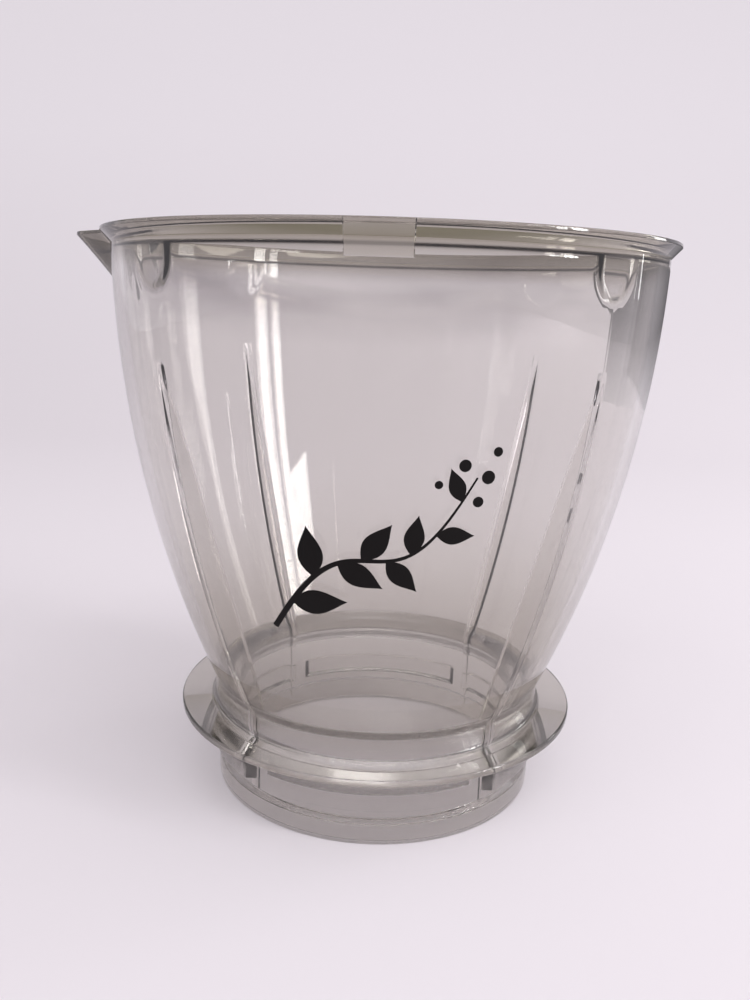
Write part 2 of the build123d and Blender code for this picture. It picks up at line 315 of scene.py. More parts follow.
class StudioSettings(bpy.types.PropertyGroup):
    """Camera, floor and surroundings of the plain studio."""

    camera_distance: length("Camera distance", "From the jar's axis, level", 246.4)
    camera_height: length("Camera height", "Above the floor", 133.55)
    camera_turn: angle("Camera turn", "Round the jar from its front", 1.8)
    camera_pan: angle("Camera pan", "Away from the jar's axis", 0.44)
    camera_tilt: angle("Camera tilt", "Down from level", 12.637)
    camera_roll: angle("Camera roll", "About the line of sight", 1.848)
    lens: value("Lens", "Focal length in millimetres on a 36 mm frame", 32.5)
    floor_colour: colour("Floor", "Colour of floor and backdrop", 0.81, 0.76, 0.815)
    room_colour: colour("Room", "Colour of the soft surroundings", 0.50, 0.48, 0.48)
    band_colour: colour("Band", "Dull band of the room above the backdrop", 0.36, 0.33, 0.26)
    floor_lift: value("Floor lift", "How far the floor keeps its own colour in light and shadow", 0.25)
    backdrop_lift: value("Backdrop lift", "How far the backdrop keeps its own colour", 0.65)
    lift_height: length("Lift height", "Height from which the backdrop keeps it so far", 400.0)
    floor_front: length("Floor front", "From the jar's axis to the floor's front edge", 1200.0)
    floor_back: length("Floor back", "From the jar's axis to where the floor begins to rise", 550.0)
    floor_width: length("Floor width", "Width of floor and backdrop", 2200.0)
    sweep_radius: length("Sweep radius", "Radius of the rise from floor to backdrop", 1100.0)
    sweep_turn: angle("Sweep turn", "How far that rise turns up", 55)
    backdrop_back: length("Backdrop back", "From the jar's axis to the backdrop's top edge", 1700.0)
    backdrop_top: length("Backdrop top", "Height of the backdrop's top edge", 850.0)
    flag_turn: angle("Flag turn", "Place of the grey card, round the jar from its front", 137)
    flag_distance: length("Flag distance", "From the jar's axis to the grey card", 750.0)
    flag_width: length("Flag width", "Width of the grey card", 650.0)
    flag_height: length("Flag height", "Height of the grey card", 170.0)


# Small sums


def lerp(start, end, share):
    """Value a share of the way from start to end."""
    return start + (end - start) * share


def clamp(number):
    """Number held between 0 and 1."""
    return min(1.0, max(0.0, number))


def smoothstep(number):
    """Soft step from 0 to 1."""
    share = clamp(number)
    return share * share * (3 - 2 * share)


def soft_max(first, second, softness):
    """Larger of two values, with a soft change from one to the other."""
    return (first + second + sqrt((first - second) ** 2 + softness**2)) / 2


def steps(start, end, count):
    """Evenly spaced values from start to end, both included."""
    return [lerp(start, end, index / count) for index in range(count + 1)]


def rounded_corner(before, corner, after, radius):
    """Points of the arc that rounds a corner of an outline."""
    middle = Vector(corner)
    way_in = (Vector(before) - middle).normalized()
    way_out = (Vector(after) - middle).normalized()
    half = way_in.angle(way_out) / 2
    reach = radius / tan(half)
    centre = middle + (way_in + way_out).normalized() * radius / sin(half)
    first = (middle + way_in * reach - centre).normalized()
    last = (middle + way_out * reach - centre).normalized()
    return [centre + first.slerp(last, share) * radius for share in steps(0, 1, CORNER_SEGMENTS)]


# Form of the jar


class JarForm:
    """Radii and heights that follow from the sizes, and where each point of the jar lies."""

    def __init__(self, size):
        self.size = size
        self.mouth_radius = size.rim_radius - size.lip_overhang
        self.lip_root = size.height - size.lip_height
        self.groove_radius = size.neck_radius - size.groove_depth
        self.bore_radius = size.seat_radius - size.seat_step
        self.collar_radius = size.neck_radius + size.collar_proud
        self.flange_top = size.flange_bottom + size.flange_thickness
        self.flange_radius = self.collar_radius + size.flange_reach
        self.collar_top = self.flange_top + size.collar_height
        self.shoulder_top = self.collar_top + size.edge_round
        self.bore_top = self.shoulder_top - size.shoulder_drop
        self.lug_bottom = size.band_height + size.band_chamfer + size.lug_rise
        self.lug_top = self.lug_bottom + size.lug_height
        self.lug_radius = size.neck_radius + size.lug_proud
        self.rib_top = size.height - size.rib_top_drop
        self.rib_bend = self.bore_top + size.rib_bend_rise
        self.rib_bottom = size.seat_height + size.rib_lift
        self.ledge = size.height - size.ledge_drop
        self.pad_bottom = self.ledge - size.pad_side - size.pad_width / 2
        self.key_bottom = size.height - size.key_height
        self.keel = size.height - size.spout_depth
        run = size.height - self.collar_top
        lean = self.mouth_radius - self.collar_radius
        self.arc_radius = (run**2 + lean**2) / (2 * lean)
        self.arc_centre = self.mouth_radius - self.arc_radius
        self.key_turn = asin(size.key_width / 2 / self.wall(size.wall, size.height))
        rim_foot = sqrt(size.rim_radius**2 - size.spout_half_width**2)
        self.spout_lean = atan2(size.spout_half_width, size.rim_radius + size.spout_reach - rim_foot)

    def wall(self, depth, height):
        """Radius of the wall, a depth inside its outer face, at a height."""
        return self.arc_centre + sqrt((self.arc_radius - depth) ** 2 - (self.size.height - height) ** 2)

    def inner_wall(self, height):
        """Radius of the wall's inner face at a height, wider above the ledge."""
        size = self.size
        return self.wall(size.wall - size.ledge_depth if height > self.ledge else size.wall, height)

    def outside(self):
        """Corners of the section from the foot up to the rim: radius, height and round."""
        size = self.size
        fine = size.fine_round
        corners = [
            (size.neck_radius, 0, size.edge_round),
            (size.neck_radius, size.band_height, fine),
            (self.groove_radius, size.band_height + size.band_chamfer, fine),
            (self.groove_radius, self.lug_bottom - size.lug_flank, 0),
            (self.lug_radius, self.lug_bottom, fine),
            (self.lug_radius, self.lug_top, fine),
            (self.groove_radius, self.lug_top + size.lug_flank, 0),
            (self.groove_radius, size.flange_bottom, size.edge_round),
            (self.flange_radius, size.flange_bottom, size.edge_round),
            (self.flange_radius, self.flange_top, size.edge_round),
            (self.collar_radius, self.flange_top, size.flange_fillet),
        ]
        heights = steps(self.collar_top, self.lip_root, WALL_ROWS)[:-1]
        corners += [(self.wall(0, height), height, 0) for height in heights]
        return corners + [
            (self.wall(0, self.lip_root), self.lip_root, size.lip_fillet),
            (size.rim_radius, size.height - size.lip_edge, size.rim_round),
            (size.rim_radius, size.height, size.rim_round),
        ]

    def inside(self):
        """Corners of the section from the mouth down to the foot: radius, height and round."""
        size = self.size
        fine = size.fine_round
        key_edge = fine / 4
        pad_low = self.pad_bottom - size.pad_soft
        heights = steps(self.ledge - fine, self.key_bottom + key_edge, KEY_ROWS)
        heights += steps(self.key_bottom - key_edge, pad_low, PAD_ROWS)
        heights += steps(pad_low, self.rib_top, PLAIN_ROWS)[1:]
        heights += steps(self.rib_top, self.shoulder_top, RIB_ROWS)[1:]
        mouth_wall = size.wall - size.ledge_depth
        # Row at the top of the painted dark line along the ledge
        shade_line_top = self.ledge + size.ledge_shade_line
        corners = [
            (self.wall(mouth_wall, size.height), size.height, size.edge_round),
            (self.wall(mouth_wall, shade_line_top), shade_line_top, 0),
            (self.wall(mouth_wall, self.ledge), self.ledge, fine),
            (self.wall(size.wall, self.ledge), self.ledge, fine),
        ]
        corners += [(self.wall(size.wall, height), height, 0) for height in heights[:-1]]
        return corners + [
            (self.wall(size.wall, self.shoulder_top), self.shoulder_top, size.shoulder_round),
            (self.bore_radius, self.bore_top, size.shoulder_round),
            (self.bore_radius, self.rib_bottom + fine, 0),
            (self.bore_radius, self.rib_bottom, 0),
            (self.bore_radius, size.seat_height, fine),
            (size.seat_radius, size.seat_height, fine),
            (size.seat_radius, 0, fine),
        ]

    def rows(self):
        """Points of the closed section, with the round corners made."""
        outside = self.outside()
        corners = outside + self.inside()
        rows = []
        for index, (radius, height, corner_round) in enumerate(corners):
            inner = index >= len(outside)
            if not corner_round:
                rows.append(Row(radius, height, inner))
                continue
            before = corners[index - 1][:2]
            after = corners[(index + 1) % len(corners)][:2]
            arc = rounded_corner(before, (radius, height), after, corner_round)
            rows += [Row(point.x, point.y, inner) for point in arc]
        return rows

    def rib_columns(self):
        """Columns at the ribs, and beside them where the edges of the lid lugs slope."""
        half = self.size.rib_thickness / 2
        columns = []
        for rib in RIB_TURNS:
            for part, share in RIB_COLUMNS:
                for side in (-1, 1):
                    aside = side * share * half
                    columns.append(Column(rib + aside / self.lug_radius, rib, aside, part))
            for offset in steps(*PAD_EDGE_TURNS, PAD_EDGE_COLUMNS):
                columns += [Column(rib - offset), Column(rib + offset)]
        return columns

    def plain_columns(self):
        """Columns across the spout, at the ends of lugs and key, and evenly over the rest."""
        size = self.size
        turns = [SPOUT_TURN + turn for turn in steps(-SPOUT_SWEEP_TURN, SPOUT_SWEEP_TURN, SPOUT_COLUMNS)]
        for side in (-1, 1):
            for middle in (0, pi):
                lug_end = middle + side * (size.lug_gap_turn - size.lug_gap / 2)
                turns += [lug_end - size.lug_end / 2, lug_end + size.lug_end / 2]
            turns += [side * self.key_turn - KEY_EDGE_TURN, side * self.key_turn + KEY_EDGE_TURN]
        taken = [(rib, RIB_CLEAR_TURN) for rib in RIB_TURNS] + [(SPOUT_TURN, SPOUT_CLEAR_TURN)]
        for turn in steps(-pi, pi, PLAIN_COLUMNS)[1:]:
            if all(abs(turn - centre) > reach for centre, reach in taken):
                if all(abs(turn - other) > LEAST_GAP_TURN for other in turns):
                    turns.append(turn)
        return [Column((turn + pi) % (2 * pi) - pi) for turn in turns]

    def columns(self):
        """Turns at which the section stands round the jar, close together where the form changes."""
        columns = {round(column.turn, 6): column for column in self.rib_columns() + self.plain_columns()}
        return [columns[turn] for turn in sorted(columns)]

    def rib_cut(self, radius, height, part):
        """How far the inside stands in from the wall at a part of a rib: its face, edge or root."""
        size = self.size
        if not self.rib_bottom < height < self.rib_top:
            return 0
        bend_radius = self.bore_radius - size.rib_foot
        if height > self.rib_bend:
            share = (height - self.rib_bend) / (self.rib_top - self.rib_bend)
            edge = lerp(bend_radius, self.wall(size.wall, self.rib_top), share)
        else:
            share = (height - self.rib_bottom) / (self.rib_bend - self.rib_bottom)
            edge = lerp(self.bore_radius - size.rib_toe, bend_radius, share)
        depth = max(0, radius - edge)
        if part == "face":
            return depth
        if part == "edge":
            return max(depth - size.rib_soft, depth / 2)
        if part == "root":
            return min(size.rib_soft, depth / 2)
        return 0

    def pad_share(self, height, aside):
        """1 on a lid lug, 0 beside it, and in between on its sloping edge."""
        size = self.size
        bend = self.ledge - size.pad_side
        if height > self.ledge - HAIR:
            return 0
        outside = hypot(aside, min(height - bend, 0)) - size.pad_width / 2
        return smoothstep(0.5 - outside / size.pad_soft)

    def spout_ridge(self, radius, height, aside):
        """Outer face of the spout: how far out it lies, at a height and a distance from its middle."""
        size = self.size
        point = radius + size.spout_reach
        half = size.spout_half_width
        if height < self.lip_root:
            share = (height - self.keel) / (self.lip_root - self.keel)
            point = lerp(self.wall(0, self.keel), self.wall(0, self.lip_root) + size.spout_reach, share)
            half = lerp(size.keel_half_width, half, share)
        slope = max((point - sqrt(radius**2 - half**2)) / half, LEAST_SPOUT_SLOPE)
        soft = size.spout_tip_round * (1 / sin(atan(1 / slope)) - 1) / slope
        return point - slope * sqrt(aside**2 + soft**2)

    def channel_ridge(self, radius, height, aside):
        """Inner face of the spout, a wall's thickness inside its outer face."""
        size = self.size
        mitre = size.spout_wall / sin(self.spout_lean)
        beak = self.wall(0, self.lip_root)
        flare = clamp((height - self.lip_root) / (size.lip_height - size.lip_edge))
        tip = lerp(beak, size.rim_radius, flare) + size.spout_reach - mitre
        if height < self.lip_root:
            share = (height - self.keel) / (self.lip_root - self.keel)
            tip = lerp(self.wall(size.wall, self.keel), tip, share)
        if height > self.ledge:
            tip += max(0, radius - self.inner_wall(height))
        soft = size.channel_round * (1 / sin(self.spout_lean) - 1) * tan(self.spout_lean)
        return tip - sqrt(aside**2 + soft**2) / tan(self.spout_lean)

    def inner_reach(self, row, centre, along, aside):
        """How far out an inner point lies from the axis, along the direction of a rib, key or spout."""
        size = self.size
        if centre == SPOUT_TURN:
            if row.height <= self.keel:
                return along
            ridge = self.channel_ridge(row.radius, row.height, aside)
            return soft_max(along, ridge, size.channel_blend)
        if centre == FRONT_TURN:
            if row.height < self.key_bottom or abs(aside) > size.key_width / 2:
                return along
            return max(along, self.mouth_radius - size.wall + size.key_depth)
        face = self.mouth_radius - size.wall - size.pad_depth
        return lerp(along, min(face, along), self.pad_share(row.height, aside))

    def outer_reach(self, row, centre, along, aside):
        """How far out an outer point lies from the axis, along the direction of the spout."""
        if centre != SPOUT_TURN or row.height <= self.keel:
            return along
        ridge = self.spout_ridge(row.radius, row.height, aside)
        return soft_max(along, ridge, self.size.spout_blend)

    def lug_share(self, turn):
        """1 on a bayonet lug, 0 in the gap between two."""
        size = self.size
        from_ends = abs(asin(sin(turn)))
        away = abs(from_ends - size.lug_gap_turn) - size.lug_gap / 2
        return clamp(away / size.lug_end + 0.5)

    def lip_share(self, row):
        """1 on the lip, fading out down the wall."""
        return smoothstep((row.height - self.lip_root) / self.size.lip_fade + 1)

    def root_shade_share(self, row):
        """Painted shade at the lip's root: 1 there, 0 at the height of the ledge and as far above the
        root.
        """
        return smoothstep(1 - abs(row.height - self.lip_root) / (self.lip_root - self.ledge))

    def on_key(self, row, column):
        """Whether a point lies on the face of the lid key's slot."""
        return row.inner and row.height > self.key_bottom and abs(column.turn) < self.key_turn

    def on_lugs(self, row):
        """Whether a row of the section lies on the bayonet lugs."""
        low = self.lug_bottom - self.size.lug_flank
        high = self.lug_top + self.size.lug_flank
        return not row.inner and row.radius > self.groove_radius and low < row.height < high

    def spout_share(self, row, reach):
        """1 on the spout, 0 on the wall and lip that it grows out of."""
        edge = max(self.wall(0, row.height), row.radius)
        return smoothstep((reach - edge) / self.size.spout_wall)

    def thick_tint_and_shade_share(self, row, column, reach):
        """How much of the tint and painted shade shows: most on lip and spout, painted shade at the lip's
        root, and some, partly painted shade, on the lower wall and neck.
        """
        size = self.size
        if row.height > self.keel:
            tints = [size.lip_tint * self.lip_share(row), size.spout_tint * self.spout_share(row, reach)]
            if self.on_key(row, column):
                tints.append(size.key_tint)
            # Painted shade at the lip's root, outside
            if not row.inner:
                tints.append(size.root_painted_shade * self.root_shade_share(row))
            return max(tints)
        if row.inner:
            return 0
        # Darker towards the foot of the wall and on flange and neck: tint with partly painted shade
        lower = smoothstep((size.lower_tint_and_shade_top - row.height) / (size.lower_tint_and_shade_top - self.collar_top))
        foot = smoothstep((self.collar_top - row.height) / size.collar_height)
        return lerp(size.wall_tint_and_shade * lower, size.foot_tint_and_shade, foot)

    def haze_share(self, row):
        """1 on the dull bore of the neck, some on flange and collar, 0 on the polished wall."""
        size = self.size
        if row.inner:
            return smoothstep((self.shoulder_top - row.height) / size.shoulder_drop + 1)
        if row.height < self.lug_top + size.lug_flank:
            return 0
        return size.flange_haze * smoothstep((self.shoulder_top - row.height) / size.edge_round)

    def painted_shade_share(self, row, column, reach):
        """Painted shade: 1 in the dark line along the ledge, some on lip and spout, 0 elsewhere."""
        size = self.size
        if row.height < self.keel:
            return 0
        shades = [size.lip_shade * self.lip_share(row), size.spout_shade * self.spout_share(row, reach)]
        # Painted shade along the ledge, less where it crosses the key's slot
        if row.inner:
            line = smoothstep(2 - 2 * abs(row.height - self.ledge) / size.ledge_shade_line)
            shades.append(line * size.key_shade_line if self.on_key(row, column) else line)
        return max(shades)

    def place(self, row, column):
        """Point of the jar on a row of its section, at a column round it."""
        centres = RIB_TURNS + [SPOUT_TURN, FRONT_TURN]
        centre = min(centres, key=lambda middle: abs(middle - column.turn))
        radius = row.radius
        if self.on_lugs(row):
            radius = lerp(self.groove_radius, radius, self.lug_share(column.turn))
        along = radius * cos(column.turn - centre)
        aside = radius * sin(column.turn - centre)
        if row.inner and column.rib is not None:
            aside = column.aside
            along = sqrt(radius**2 - aside**2) - self.rib_cut(radius, row.height, column.part)
        shift = self.inner_reach if row.inner else self.outer_reach
        along = shift(row, centre, along, aside)
        x = along * sin(centre) + aside * cos(centre)
        y = aside * sin(centre) - along * cos(centre)
        return x, y, row.height


# Meshes of the jar and its print


def finish_mesh(bm, name):
    """Object with the finished mesh, smooth but for its sharp edges."""
    for face in bm.faces:
        face.smooth = True
    for edge in bm.edges:
        edge.smooth = edge.calc_face_angle(0) < SHARP_TURN
    mesh = bpy.data.meshes.new(name)
    bm.to_mesh(mesh)
    bm.free()
    piece = bpy.data.objects.new(name, mesh)
    bpy.context.scene.collection.objects.link(piece)
    return piece


def spun_jar(form):
    """Mesh of the jar: its section is spun round the axis, then each point goes to its own place."""
    rows = form.rows()
    columns = form.columns()
    bm = bmesh.new()
    row_layer = bm.verts.layers.int.new("row")
    verts = []
    for index, row in enumerate(rows):
        vert = bm.verts.new((row.radius, 0, row.height))
        vert[row_layer] = index
        verts.append(vert)
    edges = [bm.edges.new((verts[index - 1], verts[index])) for index in range(len(verts))]
    count = len(columns)
    bmesh.ops.spin(
        bm, geom=verts + edges, cent=(0, 0, 0), axis=(0, 0, 1), angle=2 * pi, steps=count, use_merge=True
    )
    # Tint of the thick plastic with painted shade at the lip's root and lower down
    thick_tint_and_shade_layer = bm.verts.layers.float.new("edge")
    haze_layer = bm.verts.layers.float.new("haze")
    # Painted shade along the ledge and on lip and spout
    painted_shade_layer = bm.verts.layers.float.new("painted_shade")
    for vert in bm.verts:
        row = rows[vert[row_layer]]
        column = columns[round(atan2(vert.co.y, vert.co.x) / (2 * pi) * count) % count]
        vert.co = form.place(row, column)
        reach = vert.co.xy.length
        vert[thick_tint_and_shade_layer] = form.thick_tint_and_shade_share(row, column, reach)
        vert[haze_layer] = form.haze_share(row)
        vert[painted_shade_layer] = form.painted_shade_share(row, column, reach)
    bmesh.ops.recalc_face_normals(bm, faces=bm.faces)
    return bm


def stem_point(sizes, share):
    """Point of the printed stem, across the front and up, a share of the way along it."""
    across = lerp(-sizes.width / 2, sizes.width / 2, share)
    return Vector((across, sizes.foot + sizes.rise * (share + sizes.sway * sin(2 * pi * share))))


def stem_heading(sizes, share):
    """Direction of the printed stem, as an angle from level."""
    step = stem_point(sizes, share + HEADING_STEP) - stem_point(sizes, share - HEADING_STEP)
    return atan2(step.y, step.x)


def add_stem(bm, sizes):
    """Flat stem that thins towards its tip."""
    made = bmesh.ops.create_grid(bm, x_segments=STEM_SEGMENTS, y_segments=STEM_BANDS, size=0.5)
    for vert in made["verts"]:
        share = vert.co.x + 0.5
        heading = stem_heading(sizes, share)
        aside = vert.co.y * sizes.stem_width * (1 - sizes.stem_taper * share)
        vert.co.xy = stem_point(sizes, share) + Vector((-sin(heading), cos(heading))) * aside


def add_leaf(bm, root, heading, leaf_length, leaf_width):
    """Flat leaf, pointed at both ends and broadest near its root."""
    along = Vector((cos(heading), sin(heading)))
    across = Vector((-sin(heading), cos(heading)))
    made = bmesh.ops.create_grid(bm, x_segments=LEAF_SEGMENTS, y_segments=LEAF_BANDS, size=0.5)
    for vert in made["verts"]:
        share = vert.co.x + 0.5
        aside = vert.co.y * leaf_width * sin(pi * share**LEAF_LEAN) ** LEAF_POINT
        vert.co.xy = root + along * share * leaf_length + across * aside


def flat_sprig(sizes):
    """Mesh of the sprig laid flat: x across the front, y up, z from the face of the ink down."""
    bm = bmesh.new()
    add_stem(bm, sizes)
    for index in range(sizes.leaf_count):
        share = lerp(sizes.first_leaf, sizes.last_leaf, index / (sizes.leaf_count - 1))
        side = 1 if index % 2 else -1
        growth = 1 - sizes.leaf_shrink * share
        root = stem_point(sizes, share)
        heading = stem_heading(sizes, share) + side * sizes.leaf_spread
        add_leaf(bm, root, heading, sizes.leaf_length * growth, sizes.leaf_width * growth)
    for index in range(sizes.berry_count):
        turn = BERRY_TURN * index
        away = Vector((cos(turn), sin(turn))) * sizes.berry_radius * (BERRY_START + index)
        place = Matrix.Translation((*(stem_point(sizes, 1) + away), 0))
        radius = sizes.berry_radius * (1 - BERRY_SHRINK * index)
        bmesh.ops.create_circle(
            bm, cap_ends=True, cap_tris=True, segments=BERRY_SEGMENTS, radius=radius, matrix=place
        )
    bmesh.ops.remove_doubles(bm, verts=bm.verts, dist=sizes.ink / 10)
    bmesh.ops.solidify(bm, geom=bm.faces[:], thickness=sizes.ink)
    return bm


def wrap_on_front(bm, form, rise):
    """Wraps a flat mesh round the front of the jar, with its face a rise above the wall."""
    for vert in bm.verts:
        across, height, level = vert.co
        radius = form.wall(0, height)
        turn = FRONT_TURN + across / radius
        reach = radius + rise + level
        vert.co = (reach * sin(turn), -reach * cos(turn), height)


# Nodes and materials


def add_node(tree, kind, place, **inputs):
    """Shader node at a place in the tree, with values set on its own sockets."""
    node = tree.nodes.new(kind)
    node.location = place
    for name, setting in inputs.items():
        node.inputs[name.replace("_", " ")].default_value = setting
    return node


def combine(tree, place, operation, *terms):
    """Socket with the result of a maths node, whose terms are sockets or numbers."""
    node = add_node(tree, "ShaderNodeMath", place)
    node.operation = operation
    for socket, term in zip(node.inputs, terms):
        if isinstance(term, bpy.types.NodeSocket):
            tree.links.new(term, socket)
        else:
            socket.default_value = term
    return node.outputs["Value"]


def ramp(tree, place, source, start, end, low=0.0, high=1.0):
    """Socket that goes from low to high while the source goes from start to end."""
    limits = {"From_Min": start, "From_Max": end, "To_Min": low, "To_Max": high}
    node = add_node(tree, "ShaderNodeMapRange", place, **limits)
    tree.links.new(source, node.inputs["Value"])
    return node.outputs["Result"]


def new_material(name):
    """Material with an empty node tree and its output."""
    material = bpy.data.materials.new(name)
    material.use_nodes = True
    tree = material.node_tree
    tree.nodes.clear()
    output = add_node(tree, "ShaderNodeOutputMaterial", (600, 0))
    return material, tree, output


def moulded_surface_group():
    """Node group for moulded and printed surfaces: fine scuffs and the slow ripple of the mould."""
    tree = bpy.data.node_groups.new("moulded_surface", "ShaderNodeTree")
    tree.interface.new_socket("Vector", in_out="INPUT", socket_type="NodeSocketVector")
    tree.interface.new_socket("Scuff", in_out="OUTPUT", socket_type="NodeSocketFloat")
    tree.interface.new_socket("Ripple", in_out="OUTPUT", socket_type="NodeSocketFloat")
    entry = add_node(tree, "NodeGroupInput", (-800, 0))
    exit_node = add_node(tree, "NodeGroupOutput", (600, 0))
    cloud = add_node(tree, "ShaderNodeTexNoise", (-500, 200), Scale=38.0, Detail=5.0, Roughness=0.6)
    streak_map = add_node(tree, "ShaderNodeMapping", (-700, -100), Scale=(900.0, 900.0, 60.0))
    streak = add_node(tree, "ShaderNodeTexNoise", (-500, -100), Scale=1.0, Detail=3.0, Roughness=0.7)
    ripple = add_node(tree, "ShaderNodeTexNoise", (-500, -350), Scale=22.0, Detail=1.0, Roughness=0.4)
    links = tree.links
    links.new(entry.outputs["Vector"], cloud.inputs["Vector"])
    links.new(entry.outputs["Vector"], streak_map.inputs["Vector"])
    links.new(streak_map.outputs["Vector"], streak.inputs["Vector"])
    links.new(entry.outputs["Vector"], ripple.inputs["Vector"])
    scuff = combine(tree, (-200, 100), "MULTIPLY", cloud.outputs["Fac"], streak.outputs["Fac"])
    links.new(scuff, exit_node.inputs["Scuff"])
    links.new(ripple.outputs["Fac"], exit_node.inputs["Ripple"])
    return tree


def surface_nodes(tree, shader, polish, scuff, ripple_depth):
    """Feeds a shader's normal from the moulded surface group, and gives a socket with its roughness."""
    group = add_node(tree, "ShaderNodeGroup", (-500, -100))
    group.node_tree = bpy.data.node_groups.get("moulded_surface") or moulded_surface_group()
    coordinates = add_node(tree, "ShaderNodeTexCoord", (-750, -100))
    bump = add_node(tree, "ShaderNodeBump", (-250, -250), Strength=1.0, Distance=ripple_depth)
    tree.links.new(coordinates.outputs["Object"], group.inputs["Vector"])
    tree.links.new(group.outputs["Ripple"], bump.inputs["Height"])
    tree.links.new(bump.outputs["Normal"], shader.inputs["Normal"])
    return ramp(tree, (-250, 0), group.outputs["Scuff"], *SCUFF_RANGE, polish, scuff)


def blend_colours(tree, place, first, second, share):
    """Mix of two colours, each a value or a socket, by a share from a socket."""
    mix = add_node(tree, "ShaderNodeMix", place)
    mix.data_type = "RGBA"
    for name, tint in (("A", first), ("B", second)):
        if isinstance(tint, bpy.types.NodeSocket):
            tree.links.new(tint, mix.inputs[name])
        else:
            mix.inputs[name].default_value = (*tint, 1)
    tree.links.new(share, mix.inputs["Factor"])
    return mix.outputs["Result"]


def mesh_share(tree, place, name):
    """Socket with a share that the mesh keeps at its vertices."""
    node = add_node(tree, "ShaderNodeAttribute", place)
    node.attribute_name = name
    return node.outputs["Fac"]


def painted_reflection_share(tree, look):
    """Socket with faint level bands, a painted reflection of the room, which fade out from the lip down
    the wall.
    """
    coordinates = add_node(tree, "ShaderNodeTexCoord", (-1500, 500))
    stretch = add_node(tree, "ShaderNodeMapping", (-1300, 600), Scale=(14.0, 14.0, 52.0))
    noise = add_node(tree, "ShaderNodeTexNoise", (-1100, 600), Scale=1.0, Detail=2.0, Roughness=0.5)
    split = add_node(tree, "ShaderNodeSeparateXYZ", (-1300, 400))
    tree.links.new(coordinates.outputs["Object"], stretch.inputs["Vector"])
    tree.links.new(stretch.outputs["Vector"], noise.inputs["Vector"])
    tree.links.new(coordinates.outputs["Object"], split.inputs["Vector"])
    patch = ramp(tree, (-900, 600), noise.outputs["Fac"], *PAINTED_REFLECTION_RANGE)
    rise = ramp(tree, (-900, 400), split.outputs["Z"], look.painted_reflection_foot, look.painted_reflection_top)
    return combine(tree, (-700, 500), "MULTIPLY", patch, rise)


def clear_plastic_material(look):
    """Clear, faintly smoky plastic with fine scuffs, tinted where it is thick and dull in the bore, with
    painted shade and faint painted reflection bands.
    """
    material, tree, output = new_material("clear_plastic")
    shader = add_node(tree, "ShaderNodeBsdfPrincipled", (200, 0), IOR=look.plastic_ior)
    shader.inputs["Transmission Weight"].default_value = 1.0
    depth = add_node(tree, "ShaderNodeVolumeAbsorption", (200, -400), Density=look.depth_density)
    depth.inputs["Color"].default_value = (*look.depth_colour, 1)
    # Painted reflection of the room as faint level bands
    painted_reflection_bands = painted_reflection_share(tree, look)
    # Tint of the thick plastic with painted shade, from the edge share
    edges = mesh_share(tree, (-400, 200), "edge")
    # Painted shade along the ledge and on lip and spout
    painted_shade = mesh_share(tree, (-150, 600), "painted_shade")
    tint = blend_colours(tree, (-400, 400), look.plastic_colour, look.painted_reflection_colour, painted_reflection_bands)
    tint = blend_colours(tree, (-150, 400), tint, look.thick_tint_and_shade_colour, edges)
    tint = blend_colours(tree, (50, 400), tint, look.painted_shade_colour, painted_shade)
    polish = surface_nodes(tree, shader, look.plastic_polish, look.plastic_scuff, look.plastic_ripple)
    haze = mesh_share(tree, (-250, 150), "haze")
    dull = combine(tree, (-50, 150), "MULTIPLY_ADD", haze, look.bore_haze, polish)
    tree.links.new(dull, shader.inputs["Roughness"])
    tree.links.new(tint, shader.inputs["Base Color"])
    tree.links.new(shader.outputs["BSDF"], output.inputs["Surface"])
    tree.links.new(depth.outputs["Volume"], output.inputs["Volume"])
    return material


def print_ink_material(look):
    """Black screen ink, satin, with the same fine scuffs as the plastic."""
    material, tree, output = new_material("print_ink")
    shader = add_node(tree, "ShaderNodeBsdfPrincipled", (200, 0), IOR=1.5)
    shader.inputs["Base Color"].default_value = (*look.ink_colour, 1)
    shader.inputs["Specular IOR Level"].default_value = 0.12
    polish = surface_nodes(tree, shader, look.ink_polish, look.ink_scuff, look.ink_ripple)
    tree.links.new(polish, shader.inputs["Roughness"])
    tree.links.new(shader.outputs["BSDF"], output.inputs["Surface"])
    return material


# Studio


def seen_share(tree, place, path):
    """Socket that is 1 for what is seen: straight on, in a mirror or through clear plastic."""
    across, up = place
    seen = path.outputs["Is Camera Ray"]
    for index, name in enumerate(("Is Glossy Ray", "Is Transmission Ray")):
        seen = combine(tree, (across + 150 * index, up), "MAXIMUM", seen, path.outputs[name])
    return seen


def paper_material(settings):
    """Pale paper, lifted towards its own colour where the camera, a mirror or clear plastic shows it."""
    material, tree, output = new_material("studio_paper")
    colour_rgba = (*settings.floor_colour, 1)
    paper = add_node(tree, "ShaderNodeBsdfDiffuse", (0, 0), Color=colour_rgba)
    glow = add_node(tree, "ShaderNodeEmission", (0, -150), Color=colour_rgba, Strength=1.0)
    path = add_node(tree, "ShaderNodeLightPath", (-600, 200))
    seen = seen_share(tree, (-400, 200), path)
    coordinates = add_node(tree, "ShaderNodeTexCoord", (-600, 500))
    split = add_node(tree, "ShaderNodeSeparateXYZ", (-400, 500))
    tree.links.new(coordinates.outputs["Object"], split.inputs["Vector"])
    lifts = (settings.floor_lift, settings.backdrop_lift)
    lift = ramp(tree, (-200, 500), split.outputs["Z"], 0.0, settings.lift_height, *lifts)
    share = combine(tree, (0, 200), "MULTIPLY", seen, lift)
    mix = add_node(tree, "ShaderNodeMixShader", (300, 0))
    tree.links.new(share, mix.inputs["Fac"])
    tree.links.new(paper.outputs["BSDF"], mix.inputs[1])
    tree.links.new(glow.outputs["Emission"], mix.inputs[2])
    tree.links.new(mix.outputs["Shader"], output.inputs["Surface"])
    return material


